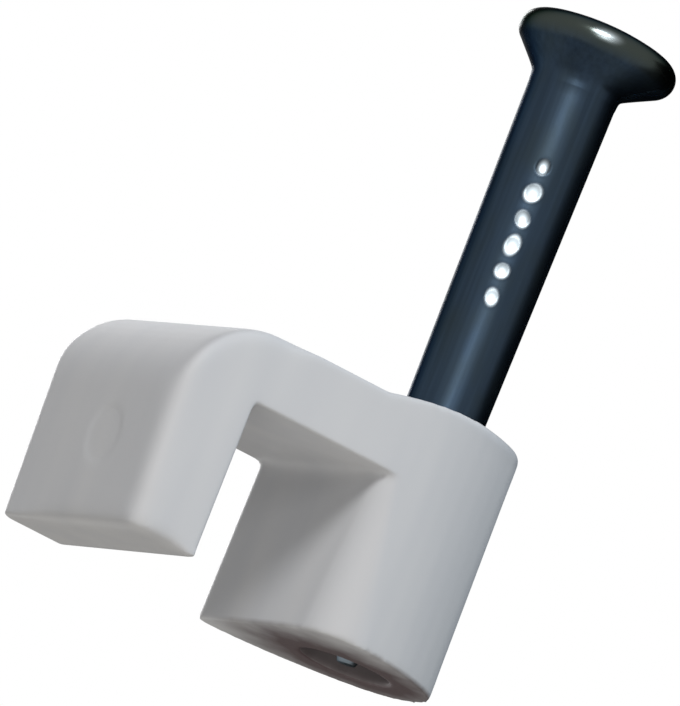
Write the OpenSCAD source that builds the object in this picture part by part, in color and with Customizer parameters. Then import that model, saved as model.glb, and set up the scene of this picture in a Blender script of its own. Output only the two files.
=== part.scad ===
// Nail-in cable clip: a moulded clip with a square cable channel, and the steel nail in its boss.
// The origin is on the nail's axis, in the plane of the wall that the boss stands on.
// +Z runs up the nail, +X from the leg to the boss, and Y along the cable.

/* [Cable channel] */
// Width of the channel between the leg and the boss
channel_w = 4.15; // [4.1:0.05:8]
// Height of the channel from the wall to its ceiling
channel_h = 4.25; // [4.1:0.05:8]
// Length of the clip along the cable
clip_depth = 6.45; // [5.6:0.05:9]
// Narrowing of the clip's sides and nose from the wall to the top, as moulding draft
side_draft = 0.1; // [0:0.01:0.2]

/* [Leg and bridge] */
// Thickness of the leg at its tip
leg_w = 2.0; // [1.2:0.05:3]
// Widening of the leg from its tip to the bridge, as moulding draft
leg_draft = 0.32; // [0:0.02:0.4]
// Height at which the leg stops short of the wall
leg_lift = 0.1; // [0.05:0.05:0.6]
// Thickness of the bridge over the channel
bridge_h = 1.8; // [1.2:0.05:3]
// Radius of the outer shoulder between the leg and the bridge
shoulder_r = 2.3; // [0.4:0.05:3]
// Radius of the leg's upright outer edges
leg_edge_r = 0.4; // [0.1:0.05:0.8]
// Radius of the ejector pin's mark on the leg
pin_mark_r = 0.76; // [0.4:0.02:1]
// Depth of the ejector pin's mark
pin_mark_depth = 0.03; // [0.02:0.01:0.1]
// Place of the ejector pin's mark along the cable
pin_mark_y = -0.45; // [-1:0.05:1]
// Height of the ejector pin's mark above the wall
pin_mark_z = 2.4; // [2:0.05:3.4]

/* [Boss] */
// Distance from the nail's axis to the channel's wall
boss_inner = 2.75; // [2:0.05:4]
// Radius of the round nose about the nail's axis, at the wall
nose_r = 2.24; // [1.9:0.02:2.7]
// Rise of the crowned top above the bridge
crown_rise = 0.5; // [0.2:0.05:1.2]
// Length of the crowned top from its crest to the bridge
crown_reach = 4.0; // [3:0.1:6]
// Place of the crown's crest along X
crown_x = 0.55; // [0:0.05:1]
// Radius of the upright edges of the channel's wall
wall_edge_r = 0.5; // [0.05:0.05:1]
// Radius of the rounded rim at the top of the nose
rim_r = 0.28; // [0.1:0.02:0.8]
// Width and depth of the lead-in at the top of the bore
lead_in = 0.3; // [0.1:0.05:0.5]

/* [Nail] */
// Length of the nail from its point to the top of its head
nail_len = 17.25; // [14:0.05:30]
// Diameter of the shank under the head
shank_d = 2.28; // [1.6:0.02:2.6]
// Narrowing of the shank's diameter from the head to the point
shank_taper = 0.3; // [0.02:0.02:0.36]
// Gap between the shank and the bore, on the radius
bore_gap = 0.02; // [0.01:0.01:0.1]
// Diameter of the head
head_d = 4.18; // [3.2:0.02:6]
// Height of the head's dome above its widest line
dome_h = 0.65; // [0.4:0.05:1]
// Radius of the head's rounded edge
head_edge_r = 0.3; // [0.1:0.02:0.36]
// Sideways offset of the head from the shank, left by cold heading
head_offset = 0.24; // [0:0.02:0.3]
// Tilt of the head towards that side, left by cold heading
head_tilt = 2.5; // [0:0.5:5]
// Angle of the head's conical underside from the nail's axis
head_cone_a = 43; // [35:1:65]
// Length of the point
point_len = 1.8; // [1.5:0.1:4]
// Radius of the blunt end of the point
point_r = 0.24; // [0.05:0.01:0.3]
// Height of the point above the wall
point_inset = 0.1; // [0.05:0.05:1]

/* [Grip marks] */
// Number of gripper-die marks in each row
grip_count = 6; // [3:1:10]
// Distance between two marks
grip_pitch = 0.7; // [0.5:0.02:1]
// Distance from the head's widest line to the first mark
grip_start = 3.4; // [2:0.1:4]
// Radius of the tooth that left each mark
grip_tooth_r = 0.34; // [0.15:0.01:0.4]
// Depth of each mark
grip_depth = 0.1; // [0.04:0.01:0.14]
// Direction of the rows round the shank
grip_angle = 240; // [0:5:355]

/* [Hidden] */
$fn = 96;
// Overlap that lets a cut run clear of the face it cuts
cut = 0.5;
// Overlap of two stretches of one piece where they meet
seam = 0.02;
arc_steps = 10;

half_depth = clip_depth / 2;
bridge_top = channel_h + bridge_h;
leg_inner_x = -boss_inner - channel_w;
leg_x = leg_inner_x - leg_w;
// Lean of the leg's outer face, and how far that face stands out at the ejector pin's mark
leg_tilt = atan2(leg_draft, bridge_top - leg_lift);
pin_seat = (pin_mark_z - leg_lift) * sin(leg_tilt);
// Centre of the shoulder, whose round runs into the leaning face and the flat top
shoulder = min(shoulder_r, leg_w + channel_w / 2, (bridge_top - leg_lift) / 2);
shoulder_z = bridge_top - shoulder;
shoulder_x = leg_x + (shoulder - (shoulder_z - leg_lift) * sin(leg_tilt)) / cos(leg_tilt);
leg_edge = min(leg_edge_r, leg_w, half_depth);

boss_h = bridge_top + crown_rise;
crown_r = (pow(crown_reach, 2) + pow(crown_rise, 2)) / (2 * crown_rise);
// Start of the crown on the bridge
foot_x = min(crown_x - crown_reach, -boss_inner) - seam;
// Flank arc: tangent to the clip's flat side at the channel's wall, and to the round nose
flank_r = (pow(boss_inner, 2) + pow(half_depth, 2) - pow(nose_r, 2)) / (2 * (half_depth - nose_r));
flank_y = flank_r - half_depth;
nose_start_x = nose_r * boss_inner / (flank_r - nose_r);
rim = min(rim_r, nose_r / 2);
// Lean of the clip's sides and nose, and half its length along the cable at the top
side_tilt = atan2(side_draft, boss_h - rim);
top_depth = half_depth - boss_h * tan(side_tilt);

shank_r = shank_d / 2;
shank_end_r = shank_r - shank_taper / 2;
bore_r = shank_r + bore_gap;
nail_top = point_inset + nail_len;
point_z = point_inset + point_len;
// Widest line of the head, and the round edge that the cone below and the dome above run into
head_z = nail_top - dome_h;
edge_x = head_d / 2 - head_edge_r;
cone_r = edge_x + head_edge_r * cos(head_cone_a);
cone_z = head_z - head_edge_r * sin(head_cone_a);
neck_z = cone_z - (cone_r - shank_r) / tan(head_cone_a);
dome_r = (pow(edge_x, 2) + pow(dome_h, 2) - pow(head_edge_r, 2)) / (2 * (dome_h - head_edge_r));
dome_a = atan2(dome_r - dome_h, edge_x);

// Points of a round stretch from angle a0 to a1
function arc(centre, r, a0, a1) =
    [for (i = [0 : arc_steps]) let (a = a0 + (a1 - a0) * i / arc_steps) centre + r * [cos(a), sin(a)]];

// Waste outside a rounded corner of a plan that starts at X = 0 and lies on the inner side of Y = 0
module edge_waste(r, side) {
    difference() {
        square(2 * r, center = true);
        translate([r, -side * r]) circle(r);
    }
}

// Section of the leg and bridge, in X and Z
module arch_section() {
    difference() {
        union() {
            polygon([
                [leg_x, leg_lift],
                [-boss_inner, leg_lift],
                [-boss_inner, bridge_top],
                [shoulder_x, bridge_top],
                [shoulder_x - shoulder * cos(leg_tilt), shoulder_z - shoulder * sin(leg_tilt)]
            ]);
            translate([shoulder_x, shoulder_z]) circle(shoulder);
        }
        translate([leg_inner_x, leg_lift - cut]) square([channel_w + cut, channel_h - leg_lift + cut]);
    }
}

// Room between the leaning sides of the leg and bridge
module between_sides() {
    run_x = leg_x - leg_draft - cut;
    translate([run_x, 0, 0]) rotate([90, 0, 90]) linear_extrude(-boss_inner - run_x)
        polygon([[-half_depth, 0], [half_depth, 0], [top_depth, boss_h], [-top_depth, boss_h]]);
}

module arch() {
    difference() {
        intersection() {
            rotate([90, 0, 0]) linear_extrude(clip_depth, center = true) arch_section();
            between_sides();
        }
        for (side = [-1, 1]) translate([leg_x, side * half_depth, leg_lift])
            rotate([side * side_tilt, -leg_tilt, 0]) translate([0, 0, -cut])
                linear_extrude(bridge_top + cut) edge_waste(leg_edge, side);
    }
}

// A drafted disc of the boss's height whose upper edge is rounded
module rimmed_disc(r) {
    top_r = r - side_draft;
    rotate_extrude() {
        polygon([[0, 0], [r, 0], [top_r, boss_h - rim], [0, boss_h - rim]]);
        square([top_r - rim, boss_h]);
        translate([top_r - rim, boss_h - rim]) circle(rim);
    }
}

module flank(side) {
    translate([-boss_inner, side * flank_y, 0]) rimmed_disc(flank_r);
}

// The boss before crowning: two flanks that run into a round nose, and the foot of the crown on the bridge
module boss_blank() {
    intersection() {
        flank(-1);
        flank(1);
        translate([-boss_inner, -half_depth, 0]) cube([boss_inner + nose_start_x, clip_depth, boss_h]);
    }
    rimmed_disc(nose_r);
    intersection() {
        translate([foot_x, -half_depth, bridge_top - bridge_h / 2])
            cube([-boss_inner - foot_x, clip_depth, boss_h]);
        between_sides();
    }
}

// Room under the crowned top, which never cuts into the bridge
module crown() {
    translate([crown_x, 0, boss_h - crown_r]) rotate([90, 0, 0])
        cylinder(r = crown_r, h = clip_depth + cut, center = true);
    translate([-boss_inner - cut, -half_depth - cut, -cut])
        cube([boss_inner + nose_r + 2 * cut, clip_depth + 2 * cut, bridge_top + cut]);
}

module boss() {
    intersection() {
        boss_blank();
        crown();
    }
}

// Waste outside an upright edge of the channel's wall, up to the channel's ceiling
module wall_edge(side) {
    intersection() {
        translate([-boss_inner, side * half_depth, 0]) rotate([side * side_tilt, 0, 0])
            linear_extrude(3 * channel_h, center = true) edge_waste(wall_edge_r, side);
        translate([-boss_inner - channel_w / 2, -clip_depth, -cut])
            cube([channel_w, 2 * clip_depth, channel_h + cut]);
    }
}

module clip_body() {
    color("gainsboro") difference() {
        union() {
            arch();
            boss();
        }
        translate([0, 0, -cut]) cylinder(r = bore_r, h = boss_h + 2 * cut);
        translate([0, 0, boss_h - lead_in])
            cylinder(r1 = bore_r, r2 = bore_r + 2 * lead_in, h = 2 * lead_in);
        for (side = [-1, 1]) wall_edge(side);
        translate([leg_x, pin_mark_y, pin_mark_z]) rotate([0, -90 - leg_tilt, 0])
            translate([0, 0, pin_seat - pin_mark_depth]) cylinder(r = pin_mark_r, h = cut);
    }
}

// Sets the head off to one side of the shank and tilts it about its widest line
module at_head() {
    translate([head_offset, 0, head_z]) rotate([0, head_tilt, 0]) translate([0, 0, -head_z]) children();
}

// The head above its cone: a round edge that runs into a shallow dome
module head_cap() {
    rotate_extrude() polygon(concat(
        [[0, cone_z]],
        arc([edge_x, head_z], head_edge_r, -head_cone_a, dome_a),
        arc([0, nail_top - dome_r], dome_r, dome_a, 90)
    ));
}

// The head's underside: a cone that leans from the shank to the offset head
module head_cone() {
    hull() {
        translate([0, 0, neck_z]) cylinder(r = shank_r, h = seam);
        at_head() translate([0, 0, cone_z]) cylinder(r = cone_r, h = seam);
    }
}

module shank() {
    rotate_extrude() polygon([
        [0, point_inset],
        [point_r, point_inset],
        [shank_end_r, point_z],
        [shank_r, neck_z + seam],
        [0, neck_z + seam]
    ]);
}

// One row of teeth marks down the shank
module grip_row() {
    for (i = [0 : grip_count - 1])
        translate([shank_r - grip_depth + grip_tooth_r, 0, head_z - grip_start - i * grip_pitch])
            sphere(r = grip_tooth_r, $fn = 32);
}

module nail() {
    color("#20262e") difference() {
        union() {
            shank();
            head_cone();
            at_head() head_cap();
        }
        for (side = [0, 180]) rotate([0, 0, grip_angle + side]) grip_row();
    }
}

clip_body();
nail();
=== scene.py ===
"""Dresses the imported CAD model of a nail-in cable clip: its moulding, its nail and the studio round them.

The frame is the CAD's own: metres, +Z up the nail, +X from the leg to the boss, Y along the cable.
"""

import math

import bmesh
import bpy
from mathutils import Matrix, Vector


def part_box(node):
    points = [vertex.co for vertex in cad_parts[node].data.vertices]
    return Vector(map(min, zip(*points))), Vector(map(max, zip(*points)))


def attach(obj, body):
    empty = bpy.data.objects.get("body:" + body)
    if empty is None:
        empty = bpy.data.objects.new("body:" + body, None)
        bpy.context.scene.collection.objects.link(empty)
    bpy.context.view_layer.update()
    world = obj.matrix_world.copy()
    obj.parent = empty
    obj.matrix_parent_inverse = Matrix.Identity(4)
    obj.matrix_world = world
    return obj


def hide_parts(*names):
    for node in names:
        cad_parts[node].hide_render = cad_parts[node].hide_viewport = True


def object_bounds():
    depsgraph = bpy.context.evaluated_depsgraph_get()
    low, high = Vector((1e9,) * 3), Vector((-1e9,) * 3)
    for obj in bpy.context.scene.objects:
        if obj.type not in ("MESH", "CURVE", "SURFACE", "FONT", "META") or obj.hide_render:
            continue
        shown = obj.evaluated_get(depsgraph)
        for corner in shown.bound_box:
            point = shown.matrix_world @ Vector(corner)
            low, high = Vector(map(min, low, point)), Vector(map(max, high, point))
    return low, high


bl_info = {
    "name": "Nail-in cable clip",
    "version": (1, 0, 0),
    "blender": (4, 5, 0),
    "location": "View3D > Sidebar > Cable clip",
    "description": "Dresses the CAD model of a nail-in cable clip",
    "category": "Object",
}

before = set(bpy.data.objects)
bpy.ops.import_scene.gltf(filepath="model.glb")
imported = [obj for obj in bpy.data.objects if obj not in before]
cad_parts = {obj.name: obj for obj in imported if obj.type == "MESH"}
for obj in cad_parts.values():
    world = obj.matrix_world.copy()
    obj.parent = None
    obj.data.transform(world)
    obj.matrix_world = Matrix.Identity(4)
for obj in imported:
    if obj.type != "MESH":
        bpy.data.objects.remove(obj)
CAD_LOW, CAD_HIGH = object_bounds()
NAIL_LOW, NAIL_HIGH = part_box("nail")
CLIP_LOW, CLIP_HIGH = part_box("clip_body")
MM = 0.001

# The photograph's frame, and the long side of the camera's sensor
IMAGE_W = 680
IMAGE_H = 706
SENSOR_MM = 36.0

# How far the lamps stand from the middle of the object
LAMP_DISTANCE = 0.25

# How far one round of smoothing moves a point towards its neighbours
SMOOTHING = 0.5


class ClipLooks(bpy.types.PropertyGroup):
    """Finish of the moulded clip."""

    colour: bpy.props.FloatVectorProperty(
        name="Plastic",
        description="Colour of the moulded plastic",
        subtype="COLOR",
        default=(0.60, 0.605, 0.62),
        min=0.0,
        max=1.0,
    )
    # Painted shade: the colour that darkens the underside round the bore and the bore itself, standing in
    # for their shade.
    underside_shade_colour: bpy.props.FloatVectorProperty(
        name="Painted underside shade",
        description="Colour of the painted shade on the underside round the bore and in the bore",
        subtype="COLOR",
        default=(0.088, 0.062, 0.064),
        min=0.0,
        max=1.0,
    )
    flow_colour: bpy.props.FloatVectorProperty(
        name="Flow bands",
        description="Colour of the faint bands that the melt left as it filled the mould",
        subtype="COLOR",
        default=(0.55, 0.56, 0.585),
        min=0.0,
        max=1.0,
    )
    voxel: bpy.props.FloatProperty(
        name="Mesh spacing",
        description="Spacing of the softened mesh",
        unit="LENGTH",
        default=0.07 * MM,
        min=0.04 * MM,
        max=0.3 * MM,
        precision=6,
    )
    boss_inner: bpy.props.FloatProperty(
        name="Channel wall",
        description="Distance from the nail's axis to the channel's wall",
        unit="LENGTH",
        default=2.75 * MM,
        precision=6,
    )
    channel_h: bpy.props.FloatProperty(
        name="Channel height",
        description="Height of the channel from the wall to its ceiling",
        unit="LENGTH",
        default=4.25 * MM,
        precision=6,
    )
    wall_edge_r: bpy.props.FloatProperty(
        name="Wall edge",
        description="Radius of the upright edges of the channel's wall in the CAD solid",
        unit="LENGTH",
        default=0.5 * MM,
        precision=6,
    )
    front_edge_r: bpy.props.FloatProperty(
        name="Front edge",
        description="Radius of the wall's front edge at its foot, where the moulding is rounder",
        unit="LENGTH",
        default=1.2 * MM,
        precision=6,
    )
    leg_inner: bpy.props.FloatProperty(
        name="Leg's inner face",
        description="Distance from the nail's axis to the leg's inner face",
        unit="LENGTH",
        default=6.9 * MM,
        precision=6,
    )
    leg_w: bpy.props.FloatProperty(
        name="Leg thickness",
        description="Thickness of the leg at its tip",
        unit="LENGTH",
        default=2.0 * MM,
        precision=6,
    )
    bridge_top: bpy.props.FloatProperty(
        name="Bridge top",
        description="Height of the bridge's flat top",
        unit="LENGTH",
        default=6.05 * MM,
        precision=6,
    )
    shoulder_r: bpy.props.FloatProperty(
        name="Shoulder",
        description="Radius of the outer shoulder between the leg and the bridge",
        unit="LENGTH",
        default=2.3 * MM,
        precision=6,
    )
    softening: bpy.props.IntProperty(
        name="Edge softening",
        description="Rounds of smoothing that soften all the moulding's edges",
        default=8,
        min=0,
        max=40,
    )
    leg_softening: bpy.props.IntProperty(
        name="Leg softening",
        description="Rounds of smoothing where the moulding is rounder still, above all on the leg",
        default=200,
        min=0,
        max=400,
    )


class NailLooks(bpy.types.PropertyGroup):
    """Sizes and finish of the nail, where the CAD's box doesn't give them."""

    colour: bpy.props.FloatVectorProperty(
        name="Blackened steel",
        description="Colour of the nail's blackened finish",
        subtype="COLOR",
        default=(0.020, 0.0315, 0.047),
        min=0.0,
        max=1.0,
    )
    # Also the colour of the painted highlight spot on the head's edge.
    bare_colour: bpy.props.FloatVectorProperty(
        name="Bare steel",
        description="Colour of the steel where the gripper's teeth broke the finish",
        subtype="COLOR",
        default=(0.74, 0.84, 0.90),
        min=0.0,
        max=1.0,
    )
    rubbed_colour: bpy.props.FloatVectorProperty(
        name="Rubbed scale",
        description="Colour of the thin scale on the head's edge",
        subtype="COLOR",
        default=(0.042, 0.051, 0.046),
        min=0.0,
        max=1.0,
    )
    shank_r: bpy.props.FloatProperty(
        name="Shank radius",
        description="Radius of the shank under the head",
        unit="LENGTH",
        default=1.14 * MM,
        precision=6,
    )
    shank_narrowing: bpy.props.FloatProperty(
        name="Shank narrowing",
        description="How much the shank's radius shrinks down to the point",
        unit="LENGTH",
        default=0.15 * MM,
        precision=6,
    )
    point_len: bpy.props.FloatProperty(
        name="Point length",
        description="Length of the point",
        unit="LENGTH",
        default=1.8 * MM,
        precision=6,
    )
    point_r: bpy.props.FloatProperty(
        name="Point end",
        description="Radius of the blunt end of the point",
        unit="LENGTH",
        default=0.24 * MM,
        precision=6,
    )
    dome_h: bpy.props.FloatProperty(
        name="Dome height",
        description="Height of the head's dome above its widest line",
        unit="LENGTH",
        default=0.65 * MM,
        precision=6,
    )
    edge_r: bpy.props.FloatProperty(
        name="Head edge",
        description="Radius of the head's rounded edge",
        unit="LENGTH",
        default=0.42 * MM,
        precision=6,
    )
    cone_angle: bpy.props.FloatProperty(
        name="Cone angle",
        description="Angle of the head's underside from the nail's axis",
        subtype="ANGLE",
        default=math.radians(52.0),
    )
    head_offset: bpy.props.FloatProperty(
        name="Head offset",
        description="Sideways offset of the head from the shank",
        unit="LENGTH",
        default=0.24 * MM,
        precision=6,
    )
    head_tilt: bpy.props.FloatProperty(
        name="Head tilt",
        description="Tilt of the head towards its offset side",
        subtype="ANGLE",
        default=math.radians(2.5),
    )
    grip_count: bpy.props.IntProperty(
        name="Grip marks",
        description="Number of teeth marks in each row",
        default=6,
        min=1,
    )
    grip_pitch: bpy.props.FloatProperty(
        name="Grip pitch",
        description="Distance between two marks",
        unit="LENGTH",
        default=0.7 * MM,
        precision=6,
    )
    grip_start: bpy.props.FloatProperty(
        name="Grip start",
        description="Distance from the head's widest line to the first mark",
        unit="LENGTH",
        default=3.4 * MM,
        precision=6,
    )
    grip_tooth_r: bpy.props.FloatProperty(
        name="Tooth radius",
        description="Radius of the tooth that left each mark",
        unit="LENGTH",
        default=0.34 * MM,
        precision=6,
    )
    grip_depth: bpy.props.FloatProperty(
        name="Grip depth",
        description="Depth of each mark",
        unit="LENGTH",
        default=0.1 * MM,
        precision=6,
    )
    grip_angle: bpy.props.FloatProperty(
        name="Grip direction",
        description="Direction of the first row round the shank; the second is opposite",
        subtype="ANGLE",
        default=math.radians(240.0),
    )


class StudioLooks(bpy.types.PropertyGroup):
    """Camera, lamps and floor."""

    azimuth: bpy.props.FloatProperty(
        name="Camera azimuth",
        description="Direction of the camera round the object",
        subtype="ANGLE",
        default=math.radians(-29.67),
    )
    elevation: bpy.props.FloatProperty(
        name="Camera elevation",
        description="Height of the camera above the horizon",
        subtype="ANGLE",
        default=math.radians(-10.15),
    )
    roll: bpy.props.FloatProperty(
        name="Camera roll",
        description="Turn of the camera about its line of sight",
        subtype="ANGLE",
        default=math.radians(21.75),
    )
    distance: bpy.props.FloatProperty(
        name="Camera distance",
        description="Distance from the camera to the point it aims at",
        unit="LENGTH",
        default=0.5,
    )
    pixels_per_mm: bpy.props.FloatProperty(
        name="Image scale",
        description="Pixels of the image for each millimetre at the point aimed at",
        default=40.555,
    )
    aim: bpy.props.FloatVectorProperty(
        name="Aim",
        description="Point at the middle of the image",
        subtype="TRANSLATION",
        default=(-3.21 * MM, 0.37 * MM, 7.05 * MM),
        precision=6,
    )
    floor_colour: bpy.props.FloatVectorProperty(
        name="Floor",
        description="Colour of the floor",
        subtype="COLOR",
        default=(0.82, 0.82, 0.83),
        min=0.0,
        max=1.0,
    )


def new_material(name):
    """An empty node material with its output and a Principled shader."""
    material = bpy.data.materials.new(name)
    material.use_nodes = True
    tree = material.node_tree
    tree.nodes.clear()
    output = tree.nodes.new("ShaderNodeOutputMaterial")
    shader = tree.nodes.new("ShaderNodeBsdfPrincipled")
    tree.links.new(shader.outputs["BSDF"], output.inputs["Surface"])
    return material, tree, shader


def add_node(tree, kind, values=None, **settings):
    """A node with its settings, and its inputs set to values or linked to sockets."""
    node = tree.nodes.new(kind)
    for key, value in settings.items():
        setattr(node, key, value)
    for key, value in (values or {}).items():
        if isinstance(value, bpy.types.NodeSocket):
            tree.links.new(value, node.inputs[key])
        else:
            node.inputs[key].default_value = value
    return node


def calculated(tree, operation, *values):
    """The result of a Math node, whose inputs are numbers or sockets."""
    node = add_node(tree, "ShaderNodeMath", dict(enumerate(values)), operation=operation)
    return node.outputs[0]


def object_place(tree):
    """The place of a point in its object's own space."""
    return add_node(tree, "ShaderNodeTexCoord").outputs["Object"]


def rgba(colour):
    """A colour with its alpha, as the nodes take it."""
    return (*colour, 1.0)


def mix_colour(tree, mask, first, second):
    """The second colour over the first where the mask is 1."""
    node = add_node(tree, "ShaderNodeMix", data_type="RGBA")
    sockets = {s.identifier: s for s in node.inputs}
    for name, value in (("Factor_Float", mask), ("A_Color", first), ("B_Color", second)):
        if isinstance(value, bpy.types.NodeSocket):
            tree.links.new(value, sockets[name])
        else:
            sockets[name].default_value = value
    return next(s for s in node.outputs if s.identifier == "Result_Color")


def scale_range(tree, value, low, high, to_low, to_high):
    """Maps a value from one range onto another, with the ends held."""
    node = add_node(
        tree,
        "ShaderNodeMapRange",
        {
            "Value": value,
            "From Min": low,
            "From Max": high,
            "To Min": to_low,
            "To Max": to_high,
        },
    )
    return node.outputs["Result"]


def bumped(tree, height, strength, depth, under=None):
    """The normal of a bump map, which may lie over the normal of another one."""
    values = {"Height": height, "Strength": strength, "Distance": depth}
    if under is not None:
        values["Normal"] = under
    return add_node(tree, "ShaderNodeBump", values).outputs["Normal"]


def stretched_noise_group():
    """Noise in the object's own space that can be drawn out along the nail's axis."""
    name = "Stretched noise"
    found = bpy.data.node_groups.get(name)
    if found:
        return found
    group = bpy.data.node_groups.new(name, "ShaderNodeTree")
    for key in ("Grain", "Stretch", "Detail", "Contrast"):
        group.interface.new_socket(key, in_out="INPUT", socket_type="NodeSocketFloat")
    group.interface.new_socket("Mask", in_out="OUTPUT", socket_type="NodeSocketFloat")
    entry = group.nodes.new("NodeGroupInput")
    leave = group.nodes.new("NodeGroupOutput")
    along = calculated(group, "DIVIDE", 1.0, entry.outputs["Stretch"])
    draw = add_node(group, "ShaderNodeCombineXYZ", {"X": 1.0, "Y": 1.0, "Z": along})
    drawn = add_node(
        group,
        "ShaderNodeVectorMath",
        {0: object_place(group), 1: draw.outputs[0]},
        operation="MULTIPLY",
    )
    noise = add_node(
        group,
        "ShaderNodeTexNoise",
        {
            "Vector": drawn.outputs[0],
            "Scale": entry.outputs["Grain"],
            "Detail": entry.outputs["Detail"],
        },
    )
    middle = 0.5
    centred = calculated(group, "SUBTRACT", noise.outputs["Fac"], middle)
    widened = add_node(
        group,
        "ShaderNodeMath",
        {0: centred, 1: entry.outputs["Contrast"], 2: middle},
        operation="MULTIPLY_ADD",
        use_clamp=True,
    )
    group.links.new(widened.outputs[0], leave.inputs["Mask"])
    return group


def stretched_noise(tree, grain, stretch, detail, contrast):
    """One use of the shared noise: grain is its features per metre."""
    values = {"Grain": grain, "Stretch": stretch, "Detail": detail, "Contrast": contrast}
    node = add_node(tree, "ShaderNodeGroup", values, node_tree=stretched_noise_group())
    return node.outputs["Mask"]


def painted_underside_shade(tree):
    """A mask of painted shade: the underside round the nail's axis, darkest near the hole, and the inside
    of the bore.
    """
    wander = 0.8 * MM
    darkest_r = 1.3 * MM
    unshaded_r = 3.2 * MM
    face_z = 0.02 * MM
    above_face_z = 0.14 * MM
    bore_r = 1.18 * MM
    past_bore_r = 1.24 * MM
    bore_share = 0.9
    bore_shade_z = 3.0 * MM
    bore_top_share = 0.3
    place = object_place(tree)
    height = add_node(tree, "ShaderNodeSeparateXYZ", {0: place}).outputs["Z"]
    flat = add_node(
        tree,
        "ShaderNodeVectorMath",
        {0: place, 1: (1.0, 1.0, 0.0)},
        operation="MULTIPLY",
    )
    length = add_node(tree, "ShaderNodeVectorMath", {0: flat.outputs[0]}, operation="LENGTH")
    from_axis = length.outputs["Value"]
    blotches = stretched_noise(tree, grain=1100.0, stretch=1.0, detail=2.0, contrast=1.5)
    spread = calculated(tree, "MULTIPLY_ADD", blotches, -wander, from_axis)
    round_bore = scale_range(tree, spread, darkest_r, unshaded_r, 1.0, 0.0)
    underside = scale_range(tree, height, face_z, above_face_z, 1.0, 0.0)
    in_bore = scale_range(tree, from_axis, bore_r, past_bore_r, bore_share, 0.0)
    low_bore = scale_range(tree, height, 0.0, bore_shade_z, 1.0, bore_top_share)
    below = calculated(tree, "MULTIPLY", round_bore, underside)
    inside = calculated(tree, "MULTIPLY", in_bore, low_bore)
    return calculated(tree, "MAXIMUM", below, inside)


def plastic_material(looks):
    """Satin moulded plastic: faint flow bands, a fine skin, a rubbed crown, and painted shade on the
    underside and in the bore.
    """
    glossiest = 0.50
    dullest = 0.60
    crown_low = 6.0 * MM
    crown_high = 6.3 * MM
    crown_gloss = 0.24
    specular = 0.35
    material, tree, shader = new_material("Moulded plastic")
    bands = stretched_noise(tree, grain=900.0, stretch=6.0, detail=1.0, contrast=1.6)
    skin = stretched_noise(tree, grain=9000.0, stretch=1.0, detail=3.0, contrast=1.4)
    waves = stretched_noise(tree, grain=420.0, stretch=1.0, detail=0.0, contrast=1.0)
    banded = mix_colour(tree, bands, rgba(looks.colour), rgba(looks.flow_colour))
    # Painted shade: the underside round the bore and the bore itself are darkened in the base colour.
    colour = mix_colour(tree, painted_underside_shade(tree), banded, rgba(looks.underside_shade_colour))
    tree.links.new(colour, shader.inputs["Base Color"])
    dull = scale_range(tree, skin, 0.0, 1.0, glossiest, dullest)
    height = add_node(tree, "ShaderNodeSeparateXYZ", {0: object_place(tree)}).outputs["Z"]
    rubbed = scale_range(tree, height, crown_low, crown_high, 0.0, -crown_gloss)
    tree.links.new(calculated(tree, "ADD", dull, rubbed), shader.inputs["Roughness"])
    wavy = bumped(tree, waves, strength=0.25, depth=0.05 * MM)
    skinned = bumped(tree, skin, strength=0.2, depth=0.006 * MM, under=wavy)
    tree.links.new(skinned, shader.inputs["Normal"])
    shader.inputs["Specular IOR Level"].default_value = specular
    return material


def steel_material(looks):
    """Blackened steel with drawing lines, rubbed on the head's edge, bare in the teeth marks with painted
    shade round them, and a painted highlight spot on the head's edge.
    """
    line_light = 1.5
    ring_shade_dark = 0.6
    olive_tint = (1.25, 1.1, 0.8)
    olive_from = 0.35
    olive_to = 0.9
    olive_share = 0.5
    glossiest = 0.35
    dullest = 0.43
    rubbed_gloss = 0.15
    edge_tint = (0.25, 0.25, 0.25)
    material, tree, shader = new_material("Blackened steel")
    lines = stretched_noise(tree, grain=7000.0, stretch=30.0, detail=3.0, contrast=1.8)
    blotches = stretched_noise(tree, grain=1400.0, stretch=2.0, detail=2.0, contrast=1.8)
    bare, scaly, rubbed = (
        add_node(tree, "ShaderNodeAttribute", attribute_name=name).outputs["Fac"]
        for name in NailShape.MASKS
    )
    light = [min(1.0, line_light * c) for c in looks.colour]
    ring_shade_colour = [ring_shade_dark * c for c in looks.colour]
    olive = [tint * c for tint, c in zip(olive_tint, looks.colour)]
    olive_mask = scale_range(tree, blotches, olive_from, olive_to, 0.0, olive_share)
    drawn = mix_colour(tree, lines, rgba(looks.colour), rgba(light))
    tinted = mix_colour(tree, olive_mask, drawn, rgba(olive))
    # Painted shade: the colour is darkened in a ring round each teeth mark.
    ringed = mix_colour(tree, scaly, tinted, rgba(ring_shade_colour))
    edged = mix_colour(tree, rubbed, ringed, rgba(looks.rubbed_colour))
    # Bare steel in the teeth marks, and the painted highlight spot on the head's edge.
    colour = mix_colour(tree, bare, edged, rgba(looks.bare_colour))
    tree.links.new(colour, shader.inputs["Base Color"])
    dull = scale_range(tree, blotches, 0.0, 1.0, glossiest, dullest)
    gloss = calculated(tree, "MULTIPLY_ADD", rubbed, -rubbed_gloss, dull)
    tree.links.new(gloss, shader.inputs["Roughness"])
    scored = bumped(tree, lines, strength=0.15, depth=0.004 * MM)
    tree.links.new(scored, shader.inputs["Normal"])
    shader.inputs["Metallic"].default_value = 1.0
    shader.inputs["Specular Tint"].default_value = rgba(edge_tint)
    return material


def dress(mesh, name, body, node, material):
    """Puts a finished mesh in place of a CAD node."""
    mesh.name = name
    mesh.shade_smooth()
    mesh.materials.clear()
    mesh.materials.append(material)
    piece = bpy.data.objects.new(name, mesh)
    bpy.context.scene.collection.objects.link(piece)
    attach(piece, body)
    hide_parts(node)
    return piece


def polar(angle, r, z):
    """A point at a radius and a height, in a direction round the Z axis."""
    return Vector((r * math.cos(angle), r * math.sin(angle), z))


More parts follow.
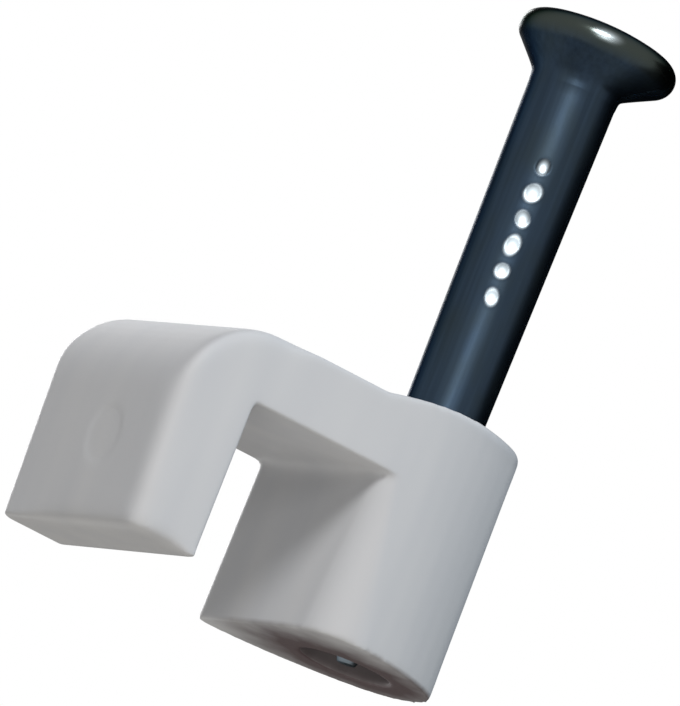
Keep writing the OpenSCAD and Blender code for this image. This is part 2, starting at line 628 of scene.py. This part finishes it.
def front_edge_waste(looks):
    """What a rounder front edge takes off the channel's wall, in millimetres, as a closed mesh.

    At each height the edge is a circle that runs into the wall and into the boss's flank.
    """
    levels = 14
    steps = 20
    reach = 0.6
    top_slack = 1.1
    taper = 1.5
    half_depth = CLIP_HIGH.y / MM
    nose_r = CLIP_HIGH.x / MM
    wall_x = -looks.boss_inner / MM
    flank_r = (wall_x**2 + half_depth**2 - nose_r**2) / (2 * (half_depth - nose_r))
    flank_y = flank_r - half_depth
    foot_r = looks.front_edge_r / MM
    top_r = top_slack * looks.wall_edge_r / MM
    waste = bmesh.new()
    rows = []
    for level in range(levels + 1):
        share = level / levels
        z = share * looks.channel_h / MM - (1 - share) * reach
        r = foot_r + (top_r - foot_r) * share**taper
        drop = math.sqrt((flank_r - r) ** 2 - r**2)
        centre = Vector((wall_x + r, flank_y - drop, z))
        end = math.atan2(-drop, r)
        row = [
            Vector((wall_x - reach, centre.y, z)),
            Vector((wall_x - reach, -half_depth - reach, z)),
            Vector((centre.x + r * math.cos(end), -half_depth - reach, z)),
        ]
        for i in range(steps + 1):
            row.append(centre + polar(end + (-math.pi - end) * i / steps, r, 0.0))
        rows.append([waste.verts.new(p) for p in row])
    count = len(rows[0])
    for low, high in zip(rows, rows[1:]):
        for i in range(count):
            j = (i + 1) % count
            waste.faces.new((low[i], low[j], high[j], high[i]))
    waste.faces.new(list(reversed(rows[0])))
    waste.faces.new(rows[-1])
    bmesh.ops.recalc_face_normals(waste, faces=waste.faces)
    mesh = bpy.data.meshes.new("front edge")
    waste.to_mesh(mesh)
    waste.free()
    return mesh


def fall(value, full, none):
    """1 at one value and beyond it, 0 at the other and beyond that, and a soft step between them."""
    share = min(1.0, max(0.0, (none - value) / (none - full)))
    return share * share * (3 - 2 * share)


class Wear:
    """Where the moulding is smoothed further, and how far.

    Each pair of lengths is in millimetres: a place counts in full at the first and not at all at the
    second.
    """

    SKIN = (0.45, 0.9)
    SHOULDER_X = (2.2, 3.4)
    FOOT_X = (1.1, 1.8)
    FOOT_Y = (0.4, 2.6)
    FOOT_Z = (0.9, 1.5)
    NOSE_X = (-1.2, -2.0)
    NOSE_R = (1.9, 1.6)
    NOSE_LOW_Z = (1.0, 0.4)
    NOSE_HIGH_Z = (5.6, 6.1)
    ROOF_R = (0.6, 1.1)
    ROOF_Y = (1.6, 2.6)
    MARK_Y = -0.45
    MARK_Z = 2.4
    MARK_R = (0.9, 1.1)
    # How far each of these places is smoothed, out of 1
    EDGE_SHARE = 0.4
    FOOT_SHARE = 0.65
    NOSE_SHARE = 0.2
    ROOF_SHARE = 0.6
    MARK_SHARE = 0.025

    def __init__(self, looks):
        self.outer_x = -(looks.leg_inner + looks.leg_w) / MM
        self.front_y = CLIP_LOW.y / MM
        self.shoulder_r = looks.shoulder_r / MM
        self.shoulder_z = looks.bridge_top / MM - self.shoulder_r
        self.wall_x = -looks.boss_inner / MM
        self.roof_z = looks.channel_h / MM

    def outside(self, point):
        """The leg's outer face and the shoulder over it."""
        inwards = point.x - self.outer_x
        if point.z <= self.shoulder_z:
            return fall(inwards, *self.SKIN)
        from_centre = math.hypot(inwards - self.shoulder_r, point.z - self.shoulder_z)
        return fall(self.shoulder_r - from_centre, *self.SKIN) * fall(inwards, *self.SHOULDER_X)

    def foot(self, point):
        """The leg's foot, apart from its back."""
        low = fall(point.z, *self.FOOT_Z) * fall(point.y, *self.FOOT_Y)
        return low * fall(point.x - self.outer_x, *self.FOOT_X)

    def nose(self, point):
        """The boss's round wall between its two rims, which loses its facets."""
        height = fall(point.z, *self.NOSE_LOW_Z) * fall(point.z, *self.NOSE_HIGH_Z)
        return height * fall(point.x, *self.NOSE_X) * fall(math.hypot(point.x, point.y), *self.NOSE_R)

    def roof(self, point):
        """The corner between the channel's roof and the boss, which becomes a soft fillet."""
        from_corner = math.hypot(point.x - self.wall_x, point.z - self.roof_z)
        return fall(from_corner, *self.ROOF_R) * fall(abs(point.y), *self.ROOF_Y)

    def weight(self, point):
        """How far a point, in millimetres, is smoothed."""
        outside = self.outside(point)
        in_front = fall(point.y - self.front_y, *self.SKIN)
        in_mark = fall(math.hypot(point.y - self.MARK_Y, point.z - self.MARK_Z), *self.MARK_R)
        return max(
            self.EDGE_SHARE * outside * in_front,
            self.FOOT_SHARE * self.foot(point),
            self.NOSE_SHARE * self.nose(point),
            self.ROOF_SHARE * self.roof(point),
            self.MARK_SHARE * outside * in_mark,
        )


def worn_copy(mesh, looks):
    """The softened mesh, in millimetres, with the places that Wear names smoothed further."""
    work = bpy.data.objects.new("wear", mesh)
    bpy.context.scene.collection.objects.link(work)
    group = work.vertex_groups.new(name="worn")
    wear = Wear(looks)
    for vertex in mesh.vertices:
        weight = wear.weight(vertex.co)
        if weight > 0:
            group.add([vertex.index], weight, "REPLACE")
    smooth = work.modifiers.new("smooth", "SMOOTH")
    smooth.factor = SMOOTHING
    smooth.iterations = looks.leg_softening
    smooth.vertex_group = "worn"
    bpy.context.view_layer.update()
    seen = work.evaluated_get(bpy.context.evaluated_depsgraph_get())
    worn = bpy.data.meshes.new_from_object(seen)
    bpy.data.objects.remove(work)
    bpy.data.meshes.remove(mesh)
    return worn


def softened_copy(node, waste, looks):
    """A copy of a CAD node's mesh, less some waste, whose edges are softened as a mould's are.

    It is remeshed in millimetres, because Blender's remesh doesn't take a finer spacing in metres.
    """
    weld = 1e-4
    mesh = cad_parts[node].data.copy()
    mesh.transform(Matrix.Scale(1 / MM, 4))
    shell = bmesh.new()
    shell.from_mesh(mesh)
    bmesh.ops.remove_doubles(shell, verts=shell.verts, dist=weld)
    shell.to_mesh(mesh)
    shell.free()
    work = bpy.data.objects.new("softening", mesh)
    bpy.context.scene.collection.objects.link(work)
    tool = bpy.data.objects.new("waste", waste)
    bpy.context.scene.collection.objects.link(tool)
    trim = work.modifiers.new("trim", "BOOLEAN")
    trim.operation = "DIFFERENCE"
    trim.object = tool
    remesh = work.modifiers.new("remesh", "REMESH")
    remesh.mode = "VOXEL"
    remesh.voxel_size = looks.voxel / MM
    smooth = work.modifiers.new("smooth", "SMOOTH")
    smooth.factor = SMOOTHING
    smooth.iterations = looks.softening
    bpy.context.view_layer.update()
    seen = work.evaluated_get(bpy.context.evaluated_depsgraph_get())
    soft = bpy.data.meshes.new_from_object(seen)
    for done, data in ((work, mesh), (tool, waste)):
        bpy.data.objects.remove(done)
        bpy.data.meshes.remove(data)
    return soft


class NailShape:
    """Rings of the nail's surface, from its point to the top of its head."""

    SEGMENTS = 160
    POINT_RINGS = 8
    SHANK_STEP = 0.25 * MM
    GRIP_STEP = 0.035 * MM
    GRIP_MARGIN = 0.4 * MM
    NECK_RINGS = 18
    EDGE_RINGS = 14
    DOME_RINGS = 12
    # Masks: bare steel with the painted highlight spot, painted shade round the marks, and the rubbed edge
    MASKS = ("bare", "scaly", "rubbed")
    # Fillet under the head: where it starts and how wide it is, as shares of the cone's height
    NECK_RUN_IN = 0.45
    NECK_FILLET = 0.14
    # Radius of the bare core of each mark in a row, and how wide its edge and its ring of painted shade are
    BARE_CORES = tuple(r * MM for r in (0.13, 0.21, 0.17, 0.21, 0.165, 0.17))
    BARE_EDGE = 0.1 * MM
    RING_SHADE_WIDTH = 0.2 * MM
    # How far a core is from round, how its lobes turn from mark to mark, and the second row's first core
    BARE_LOBES = 0.09
    LOBE_TURN = 2.3
    ROW_SHIFT = 2
    # A row only marks the part of the shank whose direction is this near to its own, as a cosine
    ROW_FACING = 0.5
    # How bare the blunt end of the point is
    TIP_BARE = 0.2
    # A lighter spot on the head's edge, mixed towards bare steel: a painted highlight where the key lamp's
    # glint falls;
    # the way it faces, its reach, how much longer it is along the edge, and how bare it is
    GLINT_SPOT_ANGLE = math.radians(242.0)
    GLINT_SPOT_RISE = math.radians(13.0)
    GLINT_SPOT_REACH = 0.21 * MM
    GLINT_SPOT_FLATNESS = 0.4
    GLINT_SPOT_BARE = 0.35

    def __init__(self, looks):
        self.looks = looks
        self.low = NAIL_LOW.z
        self.head_r = (NAIL_HIGH.y - NAIL_LOW.y) / 2
        self.edge_x = self.head_r - looks.edge_r
        dome_drop = looks.dome_h - looks.edge_r
        self.dome_r = (self.edge_x**2 + looks.dome_h**2 - looks.edge_r**2) / (2 * dome_drop)
        self.dome_a = math.atan2(self.dome_r - looks.dome_h, self.edge_x)
        self.head_z = self.tilted_head_z()
        self.cone_r = self.edge_x + looks.edge_r * math.cos(looks.cone_angle)
        self.cone_z = self.head_z - looks.edge_r * math.sin(looks.cone_angle)
        self.neck_z = self.cone_z - (self.cone_r - looks.shank_r) / math.tan(looks.cone_angle)
        self.point_z = self.low + looks.point_len
        self.first_grip = self.head_z - looks.grip_start
        self.last_grip = self.first_grip - (looks.grip_count - 1) * looks.grip_pitch
        self.rings = []
        self.masks = {name: [] for name in self.MASKS}

    def tilted_head_z(self):
        """Height of the head's widest line: the tilted dome tops out at the CAD box's top."""
        arc_drop = self.dome_r - self.looks.dome_h
        return NAIL_HIGH.z - (self.dome_r - arc_drop * math.cos(self.looks.head_tilt))

    def shank_radius(self, z):
        """Radius of the tapered shank at a height, without its marks."""
        share = (self.neck_z - z) / (self.neck_z - self.point_z)
        return self.looks.shank_r - self.looks.shank_narrowing * max(0.0, share)

    def angles(self):
        """Directions of a ring's points."""
        return [2 * math.pi * i / self.SEGMENTS for i in range(self.SEGMENTS)]

    def bitten_radius(self, angle, z, r):
        """Radius at a place on the shank, how bare the steel is there, and how much painted shade rings the
        marks there.
        """
        looks = self.looks
        tooth = looks.grip_tooth_r
        centre_r = looks.shank_r - looks.grip_depth + tooth
        found, bare, scaly = r, 0.0, 0.0
        for side in (0, 1):
            turn = angle - looks.grip_angle - side * math.pi
            if math.cos(turn) < self.ROW_FACING:
                continue
            for i in range(looks.grip_count):
                rise = z - (self.first_grip - i * looks.grip_pitch)
                across = centre_r * math.sin(turn)
                room = tooth**2 - rise**2 - across**2
                if room > 0:
                    found = min(found, centre_r * math.cos(turn) - math.sqrt(room))
                core = self.BARE_CORES[(i + self.ROW_SHIFT * side) % len(self.BARE_CORES)]
                lobes = math.cos(2 * math.atan2(rise, across) + self.LOBE_TURN * i)
                far = math.hypot(rise, across) * (1 + self.BARE_LOBES * lobes)
                bare = max(bare, fall(far, core - self.BARE_EDGE, core + self.BARE_EDGE))
                # Painted shade: a darker ring round each bare core.
                scaly = max(scaly, fall(far, core, core + self.RING_SHADE_WIDTH))
        return found, bare, scaly

    def add_ring(self, points, **masks):
        """Adds a ring; a mask is one value for all its points or a list with a value for each."""
        self.rings.append(points)
        for name in self.MASKS:
            value = masks.get(name, 0.0)
            self.masks[name].append(value if isinstance(value, list) else [value] * self.SEGMENTS)

    def add_plain_ring(self, z, r, bare):
        """A round ring, without marks."""
        self.add_ring([polar(a, r, z) for a in self.angles()], bare=bare)

    def add_shank_ring(self, z):
        """A ring of the shank, with what the teeth left of it and the painted shade round each mark."""
        points, bare, scaly = [], [], []
        for a in self.angles():
            r, bare_here, scaly_here = self.bitten_radius(a, z, self.shank_radius(z))
            points.append(polar(a, r, z))
            bare.append(bare_here)
            scaly.append(scaly_here)
        self.add_ring(points, bare=bare, scaly=scaly)

    def head_point(self, angle, r, z):
        """A point of the head, which is set off to one side and tilted about its widest line."""
        tilt = Matrix.Rotation(self.looks.head_tilt, 3, "Y")
        local = polar(angle, r, z - self.head_z)
        return Vector((self.looks.head_offset, 0.0, self.head_z)) + tilt @ local

    def add_head_ring(self, r, z, **masks):
        """A ring of the head's edge or dome."""
        self.add_ring([self.head_point(a, r, z) for a in self.angles()], **masks)

    def glint_spot_ring(self, rise):
        """How far a ring of the head's edge, which faces up by the angle rise, is mixed to bare steel in
        the painted highlight spot.
        """
        up = self.looks.edge_r * (rise - self.GLINT_SPOT_RISE)
        bare = []
        for a in self.angles():
            turn = math.remainder(a - self.GLINT_SPOT_ANGLE, 2 * math.pi)
            far = math.hypot(up, self.GLINT_SPOT_FLATNESS * self.head_r * turn)
            bare.append(self.GLINT_SPOT_BARE * fall(far, 0.0, self.GLINT_SPOT_REACH))
        return bare

    def add_neck_ring(self, share):
        """A ring of the cone under the head; share runs from 0 at the neck to 1 at the head's edge."""
        k = self.NECK_FILLET
        eased = min(1.0, 0.5 * (share + math.sqrt(share**2 + k**2)))
        z = self.neck_z + share * (self.cone_z - self.neck_z)
        r = self.shank_radius(z)
        points = []
        for a in self.angles():
            foot = polar(a, r, z)
            top = self.head_point(a, self.cone_r, self.cone_z)
            lift = max(0.0, share) * (top.z - self.cone_z)
            reach = Vector((top.x - foot.x, top.y - foot.y, 0.0))
            points.append(foot + eased * reach + Vector((0.0, 0.0, lift)))
        self.add_ring(points)

    def build(self):
        """All the rings from the point to the dome, as a mesh."""
        looks = self.looks
        for i in range(self.POINT_RINGS):
            share = i / self.POINT_RINGS
            end_r = self.shank_radius(self.point_z)
            self.add_plain_ring(
                self.low + share * looks.point_len,
                looks.point_r + share * (end_r - looks.point_r),
                self.TIP_BARE * (1 - share),
            )
        grip_low = self.last_grip - self.GRIP_MARGIN
        grip_high = self.first_grip + self.GRIP_MARGIN
        run_in = self.neck_z - self.NECK_RUN_IN * (self.cone_z - self.neck_z)
        z = self.point_z
        while z < run_in:
            self.add_shank_ring(z)
            in_grip = grip_low <= z <= grip_high
            z += self.GRIP_STEP if in_grip else self.SHANK_STEP
        for i in range(self.NECK_RINGS):
            share = -self.NECK_RUN_IN + (1 + self.NECK_RUN_IN) * i / self.NECK_RINGS
            self.add_neck_ring(share)
        for i in range(self.EDGE_RINGS + 1):
            share = i / self.EDGE_RINGS
            a = -looks.cone_angle + (self.dome_a + looks.cone_angle) * share
            self.add_head_ring(
                self.edge_x + looks.edge_r * math.cos(a),
                self.head_z + looks.edge_r * math.sin(a),
                # The painted highlight spot on the head's edge goes into the bare-steel mask.
                bare=self.glint_spot_ring(a),
                rubbed=math.sin(math.pi * share),
            )
        dome_z = self.head_z + looks.dome_h - self.dome_r
        for i in range(1, self.DOME_RINGS):
            a = self.dome_a + (math.pi / 2 - self.dome_a) * i / self.DOME_RINGS
            self.add_head_ring(self.dome_r * math.cos(a), dome_z + self.dome_r * math.sin(a))
        return self.mesh()

    def mesh(self):
        """The rings joined up and closed at both ends, with their masks as attributes."""
        count = self.SEGMENTS
        points = [p for ring in self.rings for p in ring]
        faces = []
        for row in range(len(self.rings) - 1):
            for i in range(count):
                a = row * count + i
                b = row * count + (i + 1) % count
                faces.append((a, b, b + count, a + count))
        low_tip = len(points)
        points.append(Vector((0.0, 0.0, self.low)))
        high_tip = len(points)
        points.append(self.head_point(0.0, 0.0, self.head_z + self.looks.dome_h))
        last = (len(self.rings) - 1) * count
        for i in range(count):
            faces.append((low_tip, (i + 1) % count, i))
            faces.append((high_tip, last + i, last + (i + 1) % count))
        made = bpy.data.meshes.new("nail")
        made.from_pydata([tuple(p) for p in points], [], faces)
        for name, rows in self.masks.items():
            mask = made.attributes.new(name, "FLOAT", "POINT")
            ends = [rows[0][0], rows[-1][0]]
            mask.data.foreach_set("value", [m for row in rows for m in row] + ends)
        return made


class CABLECLIP_OT_moulding(bpy.types.Operator):
    """Makes the clip's moulding: the CAD solid with a mould's soft edges"""

    bl_idname = "cableclip.moulding"
    bl_label = "Moulding"

    def execute(self, context):
        looks = context.scene.clip_looks
        mesh = worn_copy(softened_copy("clip_body", front_edge_waste(looks), looks), looks)
        mesh.transform(Matrix.Scale(MM, 4))
        dress(mesh, "clip_moulding", "clip", "clip_body", plastic_material(looks))
        return {"FINISHED"}


class CABLECLIP_OT_nail(bpy.types.Operator):
    """Makes the nail, with its teeth marks, its filleted neck and its domed head"""

    bl_idname = "cableclip.nail"
    bl_label = "Nail"

    def execute(self, context):
        looks = context.scene.nail_looks
        mesh = NailShape(looks).build()
        dress(mesh, "steel_nail", "nail", "nail", steel_material(looks))
        return {"FINISHED"}


def matt(shader, colour, roughness):
    """Gives a shader a colour without any shine."""
    shader.inputs["Base Color"].default_value = rgba(colour)
    shader.inputs["Roughness"].default_value = roughness
    shader.inputs["Specular IOR Level"].default_value = 0.0


def square_mesh(name, half, z, material):
    """A level square at a height."""
    mesh = bpy.data.meshes.new(name)
    corners = [(-half, -half), (half, -half), (half, half), (-half, half)]
    mesh.from_pydata([(x, y, z) for x, y in corners], [], [(0, 1, 2, 3)])
    mesh.materials.append(material)
    return mesh


def floor_material(colour):
    """A pale floor that keeps the object's shadow, fades out far away and is open from below."""
    fade_from = 0.06
    fade_to = 0.25
    material, tree, shader = new_material("Pale floor")
    matt(shader, colour, roughness=0.9)
    output = next(n for n in tree.nodes if n.type == "OUTPUT_MATERIAL")
    far = add_node(tree, "ShaderNodeVectorMath", {0: object_place(tree)}, operation="LENGTH")
    fade = scale_range(tree, far.outputs["Value"], fade_from, fade_to, 0.0, 1.0)
    below = add_node(tree, "ShaderNodeNewGeometry").outputs["Backfacing"]
    clear = add_node(tree, "ShaderNodeBsdfTransparent")
    unseen = calculated(tree, "MAXIMUM", fade, below)
    values = {0: unseen, 1: shader.outputs["BSDF"], 2: clear.outputs["BSDF"]}
    mix = add_node(tree, "ShaderNodeMixShader", values)
    tree.links.new(mix.outputs["Shader"], output.inputs["Surface"])
    return material


def make_floor(colour):
    """A floor just under the object, which doesn't light it."""
    half = 0.5
    gap = 0.02 * MM
    mesh = square_mesh("floor", half, CAD_LOW.z - gap, floor_material(colour))
    floor = bpy.data.objects.new("floor", mesh)
    floor.visible_shadow = False
    floor.visible_diffuse = False
    floor.visible_glossy = False
    bpy.context.scene.collection.objects.link(floor)


def make_world():
    """Soft ambient light, most of it from below, with a white backdrop for the camera and reflections."""
    brightest_way = (-0.18, -0.34, -0.923)
    gathering = 2.0
    dim = (0.04, 0.041, 0.043)
    bright = (0.82, 0.79, 0.735)
    strength = 1.3
    white = (1.0, 1.0, 1.0)
    world = bpy.data.worlds.new("Studio")
    bpy.context.scene.world = world
    world.use_nodes = True
    tree = world.node_tree
    tree.nodes.clear()
    output = tree.nodes.new("ShaderNodeOutputWorld")
    place = add_node(tree, "ShaderNodeTexCoord")
    facing = add_node(
        tree,
        "ShaderNodeVectorMath",
        {0: place.outputs["Generated"], 1: brightest_way},
        operation="DOT_PRODUCT",
    )
    below = scale_range(tree, facing.outputs["Value"], 0.0, 1.0, 0.0, 1.0)
    share = calculated(tree, "POWER", below, gathering)
    sky = mix_colour(tree, share, rgba(dim), rgba(bright))
    ambient = add_node(tree, "ShaderNodeBackground", {"Color": sky, "Strength": strength})
    backdrop = add_node(tree, "ShaderNodeBackground", {"Color": rgba(white), "Strength": 1.0})
    path = add_node(tree, "ShaderNodeLightPath").outputs
    seen = calculated(tree, "MAXIMUM", path["Is Camera Ray"], path["Is Glossy Ray"])
    shown = calculated(tree, "MAXIMUM", seen, path["Is Transmission Ray"])
    values = {0: shown, 1: ambient.outputs["Background"], 2: backdrop.outputs["Background"]}
    mix = add_node(tree, "ShaderNodeMixShader", values)
    tree.links.new(mix.outputs["Shader"], output.inputs["Surface"])


def direction(azimuth, elevation):
    """From the object towards a place round it, with azimuth 0 in front of it, at -Y."""
    return Vector((
        math.sin(azimuth) * math.cos(elevation),
        -math.cos(azimuth) * math.cos(elevation),
        math.sin(elevation),
    ))


def stand_round(thing, azimuth, elevation, distance):
    """Stands a thing off from the middle of the object, its -Z axis at it; angles are in degrees."""
    towards = direction(math.radians(azimuth), math.radians(elevation))
    thing.location = (CAD_LOW + CAD_HIGH) / 2 + distance * towards
    thing.rotation_mode = "QUATERNION"
    thing.rotation_quaternion = towards.to_track_quat("Z", "Y")
    bpy.context.scene.collection.objects.link(thing)


def add_lamp(
    name,
    azimuth,
    elevation,
    size,
    watts,
    colour=(1.0, 1.0, 1.0),
    mirrored=True,
    lights=True,
):
    """A square soft box that points at the middle of the object; angles are in degrees.

    One that isn't mirrored lights the object without a glint of its own, and one that doesn't light
    it is only a glint.
    """
    lamp = bpy.data.lights.new(name, "AREA")
    lamp.shape = "SQUARE"
    lamp.size = size
    lamp.energy = watts
    lamp.color = colour
    box = bpy.data.objects.new(name, lamp)
    box.visible_glossy = mirrored
    box.visible_diffuse = lights
    stand_round(box, azimuth, elevation, LAMP_DISTANCE)


def make_card(azimuth, elevation, distance, size):
    """A dark card beside the object, which only shows as the dark side of what the steel mirrors."""
    material, _, shader = new_material("Dark card")
    matt(shader, (0.01, 0.01, 0.012), roughness=1.0)
    card = bpy.data.objects.new("card", square_mesh("card", size / 2, 0.0, material))
    card.visible_camera = False
    card.visible_diffuse = False
    card.visible_shadow = False
    stand_round(card, azimuth, elevation, distance)


def make_camera(looks):
    """A long lens at the photograph's viewing angle."""
    nearest = 0.1
    farthest = 10.0
    camera = bpy.data.cameras.new("photo")
    camera.sensor_width = SENSOR_MM
    image_mm = max(IMAGE_W, IMAGE_H) / looks.pixels_per_mm
    camera.lens = SENSOR_MM * (looks.distance / MM) / image_mm
    camera.clip_start = nearest * looks.distance
    camera.clip_end = farthest * looks.distance
    seat = bpy.data.objects.new("photo", camera)
    back = direction(looks.azimuth, looks.elevation)
    upright = (-back).to_track_quat("-Z", "Y").to_matrix()
    rolled = upright @ Matrix.Rotation(looks.roll, 3, "Z")
    seat.matrix_world = Matrix.Translation(Vector(looks.aim) + looks.distance * back) @ rolled.to_4x4()
    bpy.context.scene.collection.objects.link(seat)
    bpy.context.scene.camera = seat


class CABLECLIP_OT_studio(bpy.types.Operator):
    """Makes the floor, the lamps, the dark card, the backdrop and the camera"""

    bl_idname = "cableclip.studio"
    bl_label = "Studio"

    def execute(self, context):
        looks = context.scene.studio_looks
        context.scene.view_settings.view_transform = "Standard"
        make_floor(looks.floor_colour)
        make_world()
        cool = (0.75, 0.89, 1.0)
        add_lamp("key", azimuth=-37.0, elevation=37.0, size=0.08, watts=0.405)
        add_lamp("front", azimuth=-30.0, elevation=11.0, size=0.045, watts=0.065)
        add_lamp("glint", azimuth=-30.0, elevation=11.0, size=0.045, watts=0.085, lights=False)
        add_lamp("right", azimuth=60.0, elevation=40.0, size=0.09, watts=0.275, colour=cool, mirrored=False)
        add_lamp("back", azimuth=172.0, elevation=14.0, size=0.08, watts=0.32)
        make_card(azimuth=104.0, elevation=-12.0, distance=0.2, size=0.46)
        make_camera(looks)
        return {"FINISHED"}


class CABLECLIP_PT_sidebar(bpy.types.Panel):
    """Lists the pieces and their settings"""

    bl_idname = "CABLECLIP_PT_sidebar"
    bl_label = "Nail-in cable clip"
    bl_space_type = "VIEW_3D"
    bl_region_type = "UI"
    bl_category = "Cable clip"

    def draw(self, context):
        scene = context.scene
        groups = (
            (CABLECLIP_OT_moulding, scene.clip_looks),
            (CABLECLIP_OT_nail, scene.nail_looks),
            (CABLECLIP_OT_studio, scene.studio_looks),
        )
        for operator, looks in groups:
            box = self.layout.box()
            box.operator(operator.bl_idname)
            for key in looks.__annotations__:
                box.prop(looks, key)


CLASSES = (
    ClipLooks,
    NailLooks,
    StudioLooks,
    CABLECLIP_OT_moulding,
    CABLECLIP_OT_nail,
    CABLECLIP_OT_studio,
    CABLECLIP_PT_sidebar,
)


def register():
    for cls in CLASSES:
        bpy.utils.register_class(cls)
    bpy.types.Scene.clip_looks = bpy.props.PointerProperty(type=ClipLooks)
    bpy.types.Scene.nail_looks = bpy.props.PointerProperty(type=NailLooks)
    bpy.types.Scene.studio_looks = bpy.props.PointerProperty(type=StudioLooks)


def unregister():
    del bpy.types.Scene.studio_looks
    del bpy.types.Scene.nail_looks
    del bpy.types.Scene.clip_looks
    for cls in reversed(CLASSES):
        bpy.utils.unregister_class(cls)


def main():
    register()
    bpy.ops.cableclip.moulding()
    bpy.ops.cableclip.nail()
    bpy.ops.cableclip.studio()


if __name__ == "__main__":
    main()
